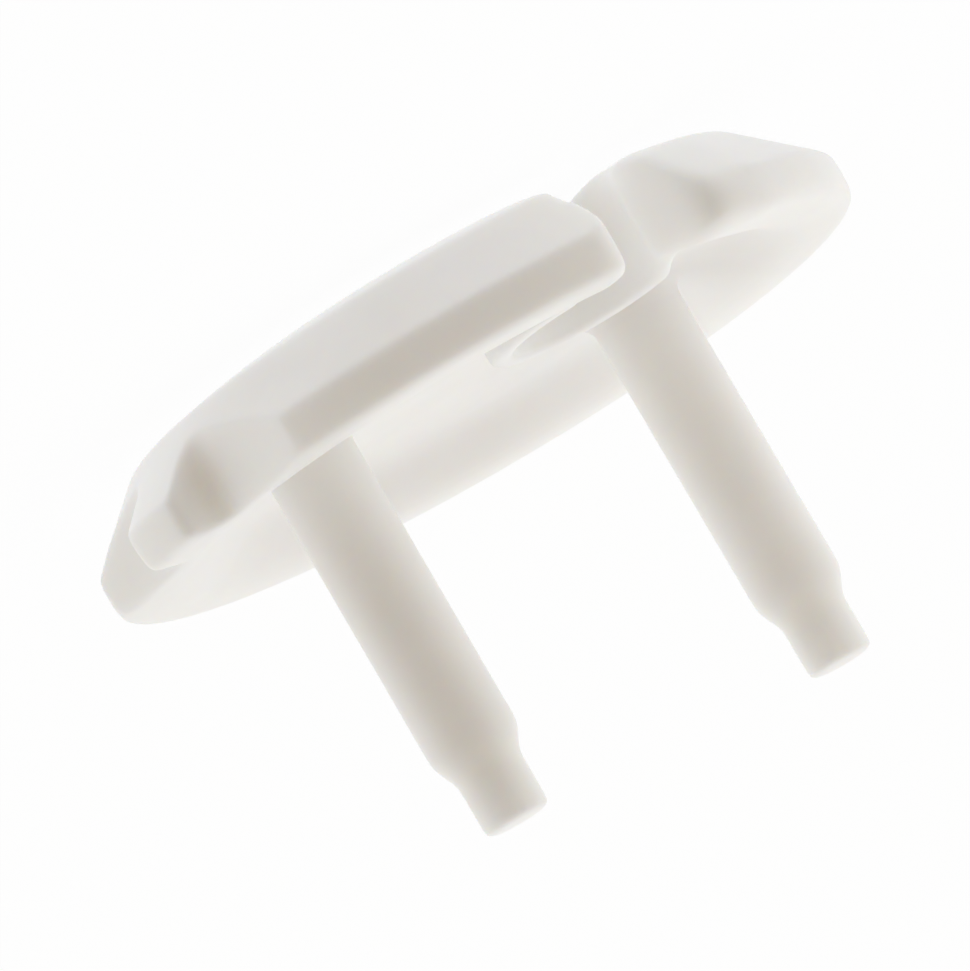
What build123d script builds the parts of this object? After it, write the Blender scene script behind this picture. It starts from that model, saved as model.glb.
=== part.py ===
"""Outlet safety cover: one moulding, a round bevelled plate with two round pins that fill the holes of a wall socket.

Millimetres. The Z axis is the cover's own axis and the X axis runs through both pins. The origin is on that axis, in
the plane of the front's rounded crest, on which the cover lies with its pins upright. The back, which meets the
socket, is on top. The Y axis points to the slot in the rim.
"""
import os
from math import asin, degrees, sqrt

from build123d import *

# Plate
PLATE_RADIUS = 18.4
PLATE_HEIGHT = 5.8
RIM_HEIGHT = 2.0
BEVEL_WIDTH = 3.3
BACK_CHAMFER = 0.25

# Front: a dome that ends in a rounded crest, with a shallow dish inside the crest
DOME_RADIUS = 61.0
CREST_INSET = 7.4
CREST_ROUNDING = 8.0
DISH_DEPTH = 1.0

# Hollow in the back, which leaves a broad land round it
LAND_WIDTH = 3.2
HOLLOW_DEPTH = 2.0
HOLLOW_SLOPE = 3.2
HOLLOW_ROUNDING = 4.0

# Keyhole for the socket's earth pin: a round hole with a mouth open at the rim, and a wall round the hole
HOLE_DIAMETER = 7.2
HOLE_CENTRE = 9.9
MOUTH_WIDTH = 4.6
MOUTH_ROUNDING = 1.2
WALL_THICKNESS = 1.1
WALL_DROP = 0.4

# Grip at one end of the pin line: two flats cut in the rim, with a rib left between them
FLAT_DEPTH = 2.4
RIB_WIDTH = 4.4
RIB_ROOT_ROUNDING = 1.0
RIB_CORNER_ROUNDING = 0.4

# Pins
PIN_SPACING = 19.0
PIN_DIAMETER = 4.2
PIN_LENGTH = 16.6
PIN_ROOT_FLARE = 0.5
TIP_DIAMETER = 3.1
TIP_LENGTH = 2.6
SHOULDER_HEIGHT = 1.2
SHOULDER_ROUNDING = 0.8
TIP_CHAMFER = 0.15

# Worked out from the sizes above
BACK = PLATE_HEIGHT
RIM_FRONT = BACK - RIM_HEIGHT
HOLLOW_RADIUS = PLATE_RADIUS - LAND_WIDTH
FLOOR = BACK - HOLLOW_DEPTH
HOLE_RADIUS = HOLE_DIAMETER / 2
REACH = 2 * PLATE_RADIUS
BEVEL_START = PLATE_RADIUS - BEVEL_WIDTH
FLAT_DISTANCE = PLATE_RADIUS - FLAT_DEPTH
CREST_RADIUS = PLATE_RADIUS - CREST_INSET
PIN_RADIUS = PIN_DIAMETER / 2
PIN_END = BACK + PIN_LENGTH
TIP_START = PIN_END - TIP_LENGTH
SHOULDER_START = TIP_START - SHOULDER_HEIGHT

# Centres and angles of the three arcs of the front, each tangent to the next
DISH_RADIUS = (CREST_RADIUS**2 + DISH_DEPTH**2) / (2 * DISH_DEPTH) - CREST_ROUNDING
DISH_CENTRE = DISH_DEPTH - DISH_RADIUS
DISH_ANGLE = degrees(asin(CREST_RADIUS / (DISH_RADIUS + CREST_ROUNDING)))
DOME_CENTRE = CREST_ROUNDING + sqrt((DOME_RADIUS - CREST_ROUNDING) ** 2 - CREST_RADIUS**2)
DOME_ANGLE = degrees(asin(CREST_RADIUS / (DOME_RADIUS - CREST_ROUNDING)))
BEVEL_ANGLE = degrees(asin(BEVEL_START / DOME_RADIUS))

os.makedirs("parts", exist_ok=True)

# Plate: one section turned about the axis
with BuildPart() as plate:
    with BuildSketch(Plane.XZ):
        with BuildLine():
            dish = CenterArc((0, DISH_CENTRE), DISH_RADIUS, 90, -DISH_ANGLE)
            CenterArc((CREST_RADIUS, CREST_ROUNDING), CREST_ROUNDING, 270 - DISH_ANGLE, DISH_ANGLE + DOME_ANGLE)
            dome = CenterArc((0, DOME_CENTRE), DOME_RADIUS, 270 + DOME_ANGLE, BEVEL_ANGLE - DOME_ANGLE)
            Polyline(
                dome @ 1,
                (PLATE_RADIUS, RIM_FRONT),
                (PLATE_RADIUS, BACK - BACK_CHAMFER),
                (PLATE_RADIUS - BACK_CHAMFER, BACK),
                (0, BACK),
                dish @ 0,
            )
        make_face()
    revolve(axis=Axis.Z)

# Hollow: a shallow bowl with a flat floor and a gentle slope
with BuildPart() as hollow:
    with BuildSketch(Plane.XZ):
        with BuildLine():
            Polyline(
                (0, FLOOR),
                (HOLLOW_RADIUS - HOLLOW_SLOPE, FLOOR),
                (HOLLOW_RADIUS, BACK),
                (0, BACK),
                close=True,
            )
        make_face()
    revolve(axis=Axis.Z)
    fillet(hollow.faces().sort_by(Axis.Z)[0].edges(), HOLLOW_ROUNDING)

# Wall round the keyhole's hole, standing on the floor of the hollow
with BuildPart() as hole_wall:
    with BuildSketch(Plane.XY.offset(FLOOR / 2)):
        with Locations((0, HOLE_CENTRE)):
            Circle(HOLE_RADIUS + WALL_THICKNESS)
    extrude(amount=BACK - WALL_DROP - FLOOR / 2)

# Outline seen from the back: the disc less the keyhole and the two flats
with BuildPart() as outline:
    with BuildSketch() as plan:
        Circle(PLATE_RADIUS)
        with Locations((0, HOLE_CENTRE)):
            Circle(HOLE_RADIUS, mode=Mode.SUBTRACT)
        with Locations((0, HOLE_CENTRE + REACH / 2)):
            Rectangle(MOUTH_WIDTH, REACH, mode=Mode.SUBTRACT)
        for side in (-1, 1):
            with Locations((-FLAT_DISTANCE - REACH / 2, side * (RIB_WIDTH + REACH) / 2)):
                Rectangle(REACH, REACH, mode=Mode.SUBTRACT)
        fillet(plan.vertices().sort_by(Axis.Y)[-2:], MOUTH_ROUNDING)
        fillet(plan.vertices().sort_by_distance((-FLAT_DISTANCE, 0, 0))[:2], RIB_ROOT_ROUNDING)
        fillet(plan.vertices().sort_by_distance((-PLATE_RADIUS, 0, 0))[:2], RIB_CORNER_ROUNDING)
    extrude(amount=BACK)

# Pins: one turned section, placed twice
with BuildPart() as pin:
    with BuildSketch(Plane.XZ):
        with BuildLine():
            Polyline(
                (0, FLOOR / 2),
                (PIN_RADIUS + PIN_ROOT_FLARE, FLOOR / 2),
                (PIN_RADIUS + PIN_ROOT_FLARE, FLOOR),
                (PIN_RADIUS, FLOOR + PIN_ROOT_FLARE),
                (PIN_RADIUS, SHOULDER_START),
                (TIP_DIAMETER / 2, TIP_START),
                (TIP_DIAMETER / 2, PIN_END),
                (0, PIN_END),
                close=True,
            )
        make_face()
    revolve(axis=Axis.Z)
    rings = pin.edges().filter_by(GeomType.CIRCLE).sort_by(Axis.Z)
    fillet(rings[3], SHOULDER_ROUNDING)
    chamfer(rings[-1], TIP_CHAMFER)

with BuildPart() as safety_cover:
    add(plate.part)
    add(hollow.part, mode=Mode.SUBTRACT)
    land = safety_cover.faces().filter_by(Plane.XY).sort_by(Axis.Z)[-1]
    fillet(land.edges().sort_by(SortBy.RADIUS)[0], HOLLOW_ROUNDING)
    add(hole_wall.part)
    add(outline.part, mode=Mode.INTERSECT)
    with Locations((-PIN_SPACING / 2, 0), (PIN_SPACING / 2, 0)):
        add(pin.part)

safety_cover.part.label = "safety_cover"
export_step(safety_cover.part, "parts/safety_cover.step")
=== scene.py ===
import math

import bpy
from mathutils import Matrix, Vector


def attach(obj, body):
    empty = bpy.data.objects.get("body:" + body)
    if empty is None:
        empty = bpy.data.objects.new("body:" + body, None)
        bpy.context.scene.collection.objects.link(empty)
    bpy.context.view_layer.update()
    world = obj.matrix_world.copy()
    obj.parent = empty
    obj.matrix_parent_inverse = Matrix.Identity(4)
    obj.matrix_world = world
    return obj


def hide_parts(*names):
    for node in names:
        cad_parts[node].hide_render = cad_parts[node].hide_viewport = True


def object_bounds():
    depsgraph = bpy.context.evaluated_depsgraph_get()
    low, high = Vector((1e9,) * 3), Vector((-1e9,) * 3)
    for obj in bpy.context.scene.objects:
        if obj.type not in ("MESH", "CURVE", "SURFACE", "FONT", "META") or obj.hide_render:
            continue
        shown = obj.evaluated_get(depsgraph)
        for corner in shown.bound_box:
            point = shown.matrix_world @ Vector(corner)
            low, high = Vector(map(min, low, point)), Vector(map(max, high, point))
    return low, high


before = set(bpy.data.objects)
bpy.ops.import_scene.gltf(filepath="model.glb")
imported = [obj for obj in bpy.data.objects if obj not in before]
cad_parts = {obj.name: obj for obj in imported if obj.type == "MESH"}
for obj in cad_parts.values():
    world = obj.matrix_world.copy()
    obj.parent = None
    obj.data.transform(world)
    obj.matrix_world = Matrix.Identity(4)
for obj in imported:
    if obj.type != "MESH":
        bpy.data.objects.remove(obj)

bl_info = {
    "name": "Outlet safety cover",
    "version": (1, 0, 0),
    "blender": (4, 5, 0),
    "location": "3D View > Sidebar > Cover",
    "description": "Gives the moulded safety cover its plastic and sets it on a lit studio floor",
    "category": "Object",
}

MOULDING = "safety_cover"
PIECE = "cover_moulding"
BODY = "root"
CAD_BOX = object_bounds()

SMOOTH_STEP = 0.5  # how far one round of smoothing moves a point to the middle of its neighbours
CLOUD_EDGES = (0.35, 0.65)  # noise between which one white of the plastic turns into the other
ROUGHNESS_SPREAD = 0.05  # how much the reflections' softness varies with the clouds
GLOW_REACH = (1.0, 0.82, 0.6)  # how far red, green and blue light travel in the plastic, as shares
SKY_TURN = 0.7  # slope above and below the horizon at which the room's light has its full tint


class CoverMouldingSettings(bpy.types.PropertyGroup):
    """How softly the moulding's edges run into each other."""

    grain: bpy.props.FloatProperty(
        name="Grain", description="Spacing of the moulding's mesh", subtype="DISTANCE", unit="LENGTH",
        min=0.0001, default=0.00021)
    softness: bpy.props.IntProperty(
        name="Softness", description="Rounds of smoothing on all edges", min=0, default=6)
    mouth_softness: bpy.props.IntProperty(
        name="Mouth softness", description="Further rounds of smoothing on the slot's mouth", min=0,
        default=130)
    mouth_wall: bpy.props.FloatProperty(
        name="Mouth wall", description="From the slot's middle to the middle of its softer wall",
        subtype="DISTANCE", unit="LENGTH", default=0.0028)
    mouth_start: bpy.props.FloatProperty(
        name="Mouth start",
        description="From the cover's axis to the place where the softer wall begins",
        subtype="DISTANCE", unit="LENGTH", default=0.0125)
    mouth_fade: bpy.props.FloatProperty(
        name="Mouth fade", description="How far from that wall its softer place ends", subtype="DISTANCE",
        unit="LENGTH", min=0.0001, default=0.003)
    back_edge_softness: bpy.props.IntProperty(
        name="Back edge softness", description="Further rounds of smoothing on the rim's back edge",
        min=0, default=25)
    back_height: bpy.props.FloatProperty(
        name="Back height", description="Height of the back above the front's crest",
        subtype="DISTANCE", unit="LENGTH", default=0.0058)
    back_edge_fade: bpy.props.FloatProperty(
        name="Back edge fade", description="How far from the back edge its softer place ends",
        subtype="DISTANCE", unit="LENGTH", min=0.0001, default=0.0014)


class CoverPlasticSettings(bpy.types.PropertyGroup):
    """Colours and sizes of the moulded plastic."""

    clear_white: bpy.props.FloatVectorProperty(
        name="Clear white", description="Colour of the plastic where it is even", subtype="COLOR",
        size=3, min=0, max=1, default=(0.925, 0.925, 0.92))
    milky_white: bpy.props.FloatVectorProperty(
        name="Milky white", description="Colour of the faint clouds in the plastic", subtype="COLOR",
        size=3, min=0, max=1, default=(0.90, 0.897, 0.885))
    cloud_size: bpy.props.FloatProperty(
        name="Cloud size", description="Size of the faint clouds", subtype="DISTANCE", unit="LENGTH",
        min=0.0005, default=0.006)
    peel_size: bpy.props.FloatProperty(
        name="Peel size", description="Size of the ripple that the mould leaves on the surface",
        subtype="DISTANCE", unit="LENGTH", min=0.00005, default=0.0006)
    peel_depth: bpy.props.FloatProperty(
        name="Peel depth", description="Height of that ripple", subtype="DISTANCE", unit="LENGTH",
        min=0, default=0.000006)
    roughness: bpy.props.FloatProperty(
        name="Roughness", description="How soft the reflections are", subtype="FACTOR", min=0, max=1,
        default=0.45)
    glow: bpy.props.FloatProperty(
        name="Glow", description="Share of light that passes through the plastic", subtype="FACTOR",
        min=0, max=1, default=0.65)
    glow_depth: bpy.props.FloatProperty(
        name="Glow depth", description="How far light travels in the plastic", subtype="DISTANCE",
        unit="LENGTH", min=0, default=0.002)


class CoverStageSettings(bpy.types.PropertyGroup):
    """Floor, light and camera."""

    floor_size: bpy.props.FloatProperty(
        name="Floor size", description="Length of the floor's side", subtype="DISTANCE", unit="LENGTH",
        min=0.5, default=8.0)
    floor_colour: bpy.props.FloatVectorProperty(
        name="Floor colour", description="Colour of the floor", subtype="COLOR", size=3, min=0, max=1,
        default=(0.93, 0.93, 0.93))
    floor_white: bpy.props.FloatProperty(
        name="Floor white", description="How far the camera sees the floor as plain white",
        subtype="FACTOR", min=0, max=1, default=0.95)
    room_light: bpy.props.FloatProperty(
        name="Room light", description="Brightness of the white surroundings", min=0, default=1.05)
    low_tint: bpy.props.FloatVectorProperty(
        name="Low tint", description="Colour of the light from below", subtype="COLOR", size=3, min=0,
        max=1, default=(0.965, 0.985, 1.0))
    high_tint: bpy.props.FloatVectorProperty(
        name="High tint", description="Colour of the light from above", subtype="COLOR", size=3, min=0,
        max=1, default=(0.985, 0.98, 0.96))
    shade_light: bpy.props.FloatProperty(
        name="Shade light", description="Brightness of the darker place where the camera stands", min=0,
        default=0.36)
    shade_tint: bpy.props.FloatVectorProperty(
        name="Shade tint", description="Colour of the light from that place", subtype="COLOR", size=3,
        min=0, max=1, default=(1.0, 0.87, 0.73))
    shade_start: bpy.props.FloatProperty(
        name="Shade start", description="Angle from the camera's direction at which the shade begins",
        subtype="ANGLE", unit="ROTATION", default=math.radians(80))
    shade_full: bpy.props.FloatProperty(
        name="Shade full", description="Angle from the camera's direction at which the shade is full",
        subtype="ANGLE", unit="ROTATION", default=math.radians(38))
    side_light: bpy.props.FloatProperty(
        name="Side light", description="Power of the weak lamp on the picture's right", subtype="POWER",
        min=0, default=0.0011)
    side_size: bpy.props.FloatProperty(
        name="Side light size", description="Width of that lamp", subtype="DISTANCE", unit="LENGTH",
        min=0.001, default=0.03)
    side_reach: bpy.props.FloatProperty(
        name="Side light reach", description="How far to the right that lamp is", subtype="DISTANCE",
        unit="LENGTH", default=0.038)
    side_forward: bpy.props.FloatProperty(
        name="Side light forward", description="How far in front of the cover that lamp is",
        subtype="DISTANCE", unit="LENGTH", default=0.02)
    azimuth: bpy.props.FloatProperty(
        name="Azimuth", description="Camera's direction about the vertical, from the pin line",
        subtype="ANGLE", unit="ROTATION", default=math.radians(125.135))
    elevation: bpy.props.FloatProperty(
        name="Elevation", description="Camera's height above the floor, as an angle", subtype="ANGLE",
        unit="ROTATION", default=math.radians(7.767))
    roll: bpy.props.FloatProperty(
        name="Roll", description="Turn of the camera about its own line of sight", subtype="ANGLE",
        unit="ROTATION", default=math.radians(149.717))
    distance: bpy.props.FloatProperty(
        name="Distance", description="From the camera to the point that it looks at",
        subtype="DISTANCE", unit="LENGTH", min=0.1, default=0.4393)
    field: bpy.props.FloatProperty(
        name="Field", description="Width of the picture at the cover", subtype="DISTANCE",
        unit="LENGTH", min=0.01, default=0.042087)
    aim: bpy.props.FloatVectorProperty(
        name="Aim", description="Point that the camera looks at", subtype="XYZ", unit="LENGTH", size=3,
        default=(-0.001582, -0.000888, 0.008449))


def new_material(name):
    """An empty node material and its tree."""
    material = bpy.data.materials.new(name)
    material.use_nodes = True
    material.node_tree.nodes.clear()
    return material, material.node_tree


def add_node(tree, kind, **sockets):
    """A node of one kind, with the sockets that are named set to plain values."""
    node = tree.nodes.new(kind)
    for name, value in sockets.items():
        node.inputs[name.replace("_", " ")].default_value = value
    return node


def blend(tree, share, first, second):
    """A shader between two others, by a plain share or by another node's value."""
    mix = tree.nodes.new("ShaderNodeMixShader")
    if isinstance(share, float):
        mix.inputs["Fac"].default_value = share
    else:
        tree.links.new(share, mix.inputs["Fac"])
    tree.links.new(first, mix.inputs[1])
    tree.links.new(second, mix.inputs[2])
    return mix.outputs["Shader"]


def moulded_plastic(settings):
    """White plastic with faint clouds in it, a soft gloss and the fine ripple of a moulded skin."""
    material, tree = new_material("moulded_white_plastic")
    link = tree.links.new
    place = add_node(tree, "ShaderNodeTexCoord").outputs["Object"]

    clouds = add_node(tree, "ShaderNodeTexNoise", Scale=1 / settings.cloud_size, Detail=3.0, Roughness=0.5)
    link(place, clouds.inputs["Vector"])
    tint = tree.nodes.new("ShaderNodeValToRGB")
    whites = (settings.milky_white, settings.clear_white)
    for element, position, white in zip(tint.color_ramp.elements, CLOUD_EDGES, whites):
        element.position = position
        element.color = (*white, 1)
    link(clouds.outputs["Fac"], tint.inputs["Fac"])

    smear = add_node(
        tree, "ShaderNodeMapRange", To_Min=settings.roughness - ROUGHNESS_SPREAD,
        To_Max=settings.roughness + ROUGHNESS_SPREAD)
    link(clouds.outputs["Fac"], smear.inputs["Value"])

    peel = add_node(tree, "ShaderNodeTexNoise", Scale=1 / settings.peel_size, Detail=2.0, Roughness=0.4)
    link(place, peel.inputs["Vector"])
    skin = add_node(tree, "ShaderNodeBump", Strength=0.5, Distance=settings.peel_depth)
    link(peel.outputs["Fac"], skin.inputs["Height"])

    plastic = add_node(
        tree, "ShaderNodeBsdfPrincipled", IOR=1.49, Specular_IOR_Level=0.4,
        Subsurface_Weight=settings.glow, Subsurface_Radius=GLOW_REACH,
        Subsurface_Scale=settings.glow_depth)
    link(tint.outputs["Color"], plastic.inputs["Base Color"])
    link(smear.outputs["Result"], plastic.inputs["Roughness"])
    link(skin.outputs["Normal"], plastic.inputs["Normal"])

    surface = tree.nodes.new("ShaderNodeOutputMaterial")
    link(plastic.outputs["BSDF"], surface.inputs["Surface"])
    return material


def studio_floor(settings):
    """Pale floor that shows the cover's soft shadow and lets light from below reach the cover."""
    material, tree = new_material("studio_floor")
    link = tree.links.new
    rays = tree.nodes.new("ShaderNodeLightPath")
    seen = add_node(tree, "ShaderNodeMath")
    seen.operation = "MAXIMUM"
    link(rays.outputs["Is Camera Ray"], seen.inputs[0])
    link(rays.outputs["Is Glossy Ray"], seen.inputs[1])
    paper = add_node(tree, "ShaderNodeBsdfDiffuse", Color=(*settings.floor_colour, 1))
    white = add_node(tree, "ShaderNodeEmission", Color=(1, 1, 1, 1), Strength=1.0)
    clear = tree.nodes.new("ShaderNodeBsdfTransparent")
    sheet = blend(tree, settings.floor_white, paper.outputs["BSDF"], white.outputs["Emission"])
    surface = tree.nodes.new("ShaderNodeOutputMaterial")
    link(blend(tree, seen.outputs["Value"], clear.outputs["BSDF"], sheet), surface.inputs["Surface"])
    return material


def camera_axes(settings):
    """Direction from the cover to the camera, and the camera's right and up."""
    turn, lift, roll = settings.azimuth, settings.elevation, settings.roll
    level = math.cos(lift)
    towards = Vector((math.cos(turn) * level, math.sin(turn) * level, math.sin(lift)))
    sideways = Vector((0, 0, 1)).cross(towards).normalized()
    upright = towards.cross(sideways)
    right = math.cos(roll) * sideways + math.sin(roll) * upright
    up = towards.cross(right)
    return towards, right, up


def baked(piece):
    """The piece's mesh with its modifiers applied."""
    graph = bpy.context.evaluated_depsgraph_get()
    mesh = bpy.data.meshes.new_from_object(piece.evaluated_get(graph))
    piece.modifiers.clear()
    return mesh


def mark_place(piece, name, distance, fade):
    """A vertex group that is full within half the fade of a place and ends at the whole fade."""
    group = piece.vertex_groups.new(name=name)
    for vertex in piece.data.vertices:
        weight = 2 * (1 - distance(vertex.co) / fade)
        if weight > 0:
            group.add([vertex.index], min(1.0, weight), "REPLACE")


def soften(piece, rounds, group):
    """Rounds of smoothing, on one vertex group or on the whole piece."""
    smooth = piece.modifiers.new(group or "all edges", "SMOOTH")
    smooth.factor = SMOOTH_STEP
    smooth.iterations = rounds
    smooth.vertex_group = group


class COVER_OT_moulding(bpy.types.Operator):
    """Round all edges of the moulding, most of all at the slot's mouth"""

    bl_idname = "cover.moulding"
    bl_label = "Soft-edged moulding"

    def execute(self, context):
        settings = context.scene.cover_moulding
        piece = self.even_piece(context, settings)
        self.round_edges(piece, settings)
        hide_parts(MOULDING)
        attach(piece, BODY)
        return {"FINISHED"}

    def even_piece(self, context, settings):
        """A piece with the solid's shape in an even mesh."""
        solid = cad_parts.get(MOULDING)
        if solid is None:
            raise RuntimeError("the frame has no node " + MOULDING)
        piece = bpy.data.objects.new(PIECE, solid.data.copy())
        context.collection.objects.link(piece)
        even = piece.modifiers.new("even mesh", "REMESH")
        even.mode = "VOXEL"
        even.voxel_size = settings.grain
        piece.data = baked(piece)
        if not piece.data.vertices:
            raise RuntimeError("the moulding's mesh came out empty")
        return piece

    def round_edges(self, piece, settings):
        """All edges a little, the mouth's wall and the rim's back edge by more."""
        rim_radius = (CAD_BOX[1][0] - CAD_BOX[0][0]) / 2

        def from_mouth(place):
            return math.hypot(place.x - settings.mouth_wall, max(0.0, settings.mouth_start - place.y))

        def from_back_edge(place):
            return math.hypot(rim_radius - math.hypot(place.x, place.y), settings.back_height - place.z)

        mark_place(piece, "mouth", from_mouth, settings.mouth_fade)
        mark_place(piece, "back edge", from_back_edge, settings.back_edge_fade)
        soften(piece, settings.softness, "")
        soften(piece, settings.mouth_softness, "mouth")
        soften(piece, settings.back_edge_softness, "back edge")
        piece.data = baked(piece)
        piece.data.shade_smooth()


class COVER_OT_plastic(bpy.types.Operator):
    """Give the moulding its white plastic"""

    bl_idname = "cover.plastic"
    bl_label = "Moulded plastic"

    def execute(self, context):
        moulding = bpy.data.objects.get(PIECE)
        if moulding is None:
            raise RuntimeError("the moulding is made before its plastic")
        moulding.data.materials.clear()
        moulding.data.materials.append(moulded_plastic(context.scene.cover_plastic))
        return {"FINISHED"}


class COVER_OT_stage(bpy.types.Operator):
    """Lay the floor, light the studio and place the camera"""

    bl_idname = "cover.stage"
    bl_label = "Studio"

    def execute(self, context):
        settings = context.scene.cover_stage
        self.lay_floor(context, settings)
        self.light_surroundings(context, settings)
        self.place_lamp(context, settings)
        self.place_camera(context, settings)
        context.scene.view_settings.view_transform = "Standard"
        return {"FINISHED"}

    def lay_floor(self, context, settings):
        """A square sheet that the cover lies on."""
        half = settings.floor_size / 2
        corners = [(-half, -half, 0), (half, -half, 0), (half, half, 0), (-half, half, 0)]
        mesh = bpy.data.meshes.new("floor")
        mesh.from_pydata(corners, [], [(0, 1, 2, 3)])
        mesh.materials.append(studio_floor(settings))
        floor = bpy.data.objects.new("floor", mesh)
        context.collection.objects.link(floor)

    def light_surroundings(self, context, settings):
        """White surroundings with a dimmer, warmer place in the photographer's direction."""
        world = bpy.data.worlds.new("studio")
        context.scene.world = world
        world.use_nodes = True
        tree = world.node_tree
        tree.nodes.clear()
        link = tree.links.new
        towards, _, _ = camera_axes(settings)
        direction = tree.nodes.new("ShaderNodeTexCoord").outputs["Generated"]

        facing = tree.nodes.new("ShaderNodeVectorMath")
        facing.operation = "DOT_PRODUCT"
        facing.inputs[1].default_value = towards
        link(direction, facing.inputs[0])
        near_shade = add_node(
            tree, "ShaderNodeMapRange", From_Min=math.cos(settings.shade_start),
            From_Max=math.cos(settings.shade_full))
        near_shade.interpolation_type = "SMOOTHSTEP"
        link(facing.outputs["Value"], near_shade.inputs["Value"])

        parts = tree.nodes.new("ShaderNodeSeparateXYZ")
        link(direction, parts.inputs["Vector"])
        height = add_node(tree, "ShaderNodeMapRange", From_Min=-SKY_TURN, From_Max=SKY_TURN)
        link(parts.outputs["Z"], height.inputs["Value"])

        low, high, shade, white = (
            add_node(tree, "ShaderNodeBackground", Color=(*tint, 1), Strength=strength).outputs["Background"]
            for tint, strength in (
                (settings.low_tint, settings.room_light),
                (settings.high_tint, settings.room_light),
                (settings.shade_tint, settings.shade_light),
                ((1, 1, 1), 1.0),
            )
        )
        room = blend(tree, height.outputs["Result"], low, high)
        glow = blend(tree, near_shade.outputs["Result"], room, shade)
        rays = tree.nodes.new("ShaderNodeLightPath")
        surface = tree.nodes.new("ShaderNodeOutputWorld")
        link(blend(tree, rays.outputs["Is Camera Ray"], glow, white), surface.inputs["Surface"])

    def place_lamp(self, context, settings):
        """A weak soft lamp on the picture's right, nearer to one pin than to the other."""
        towards, right, _ = camera_axes(settings)
        data = bpy.data.lights.new("side_lamp", "AREA")
        data.shape = "DISK"
        data.size = settings.side_size
        data.energy = settings.side_light
        lamp = bpy.data.objects.new("side_lamp", data)
        context.collection.objects.link(lamp)
        offset = settings.side_reach * right + settings.side_forward * towards
        lamp.location = Vector(settings.aim) + offset
        lamp.rotation_euler = offset.to_track_quat("Z", "Y").to_euler()

    def place_camera(self, context, settings):
        """A long lens at the photograph's angle."""
        towards, right, up = camera_axes(settings)
        data = bpy.data.cameras.new("camera")
        data.lens = data.sensor_width * settings.distance / settings.field
        data.clip_end = settings.floor_size
        camera = bpy.data.objects.new("camera", data)
        context.collection.objects.link(camera)
        turn = Matrix((right, up, towards)).transposed().to_4x4()
        place = Vector(settings.aim) + settings.distance * towards
        camera.matrix_world = Matrix.Translation(place) @ turn
        context.scene.camera = camera


GROUPS = (
    ("cover_moulding", COVER_OT_moulding),
    ("cover_plastic", COVER_OT_plastic),
    ("cover_stage", COVER_OT_stage),
)


class COVER_PT_panel(bpy.types.Panel):
    """The cover's pieces and studio in the sidebar"""

    bl_idname = "COVER_PT_panel"
    bl_label = "Outlet safety cover"
    bl_space_type = "VIEW_3D"
    bl_region_type = "UI"
    bl_category = "Cover"

    def draw(self, context):
        layout = self.layout
        for settings, operator in GROUPS:
            box = layout.box()
            box.operator(operator.bl_idname)
            group = getattr(context.scene, settings)
            for name in group.__annotations__:
                box.prop(group, name)


CLASSES = (
    CoverMouldingSettings, CoverPlasticSettings, CoverStageSettings,
    COVER_OT_moulding, COVER_OT_plastic, COVER_OT_stage, COVER_PT_panel)


def register():
    """Make the settings, operators and panel known to Blender."""
    for cls in CLASSES:
        bpy.utils.register_class(cls)
    bpy.types.Scene.cover_moulding = bpy.props.PointerProperty(type=CoverMouldingSettings)
    bpy.types.Scene.cover_plastic = bpy.props.PointerProperty(type=CoverPlasticSettings)
    bpy.types.Scene.cover_stage = bpy.props.PointerProperty(type=CoverStageSettings)


def unregister():
    """Take them out again."""
    del bpy.types.Scene.cover_stage
    del bpy.types.Scene.cover_plastic
    del bpy.types.Scene.cover_moulding
    for cls in reversed(CLASSES):
        bpy.utils.unregister_class(cls)


def main():
    """Build the looks in order."""
    register()
    bpy.ops.cover.moulding()
    bpy.ops.cover.plastic()
    bpy.ops.cover.stage()


if __name__ == "__main__":
    main()
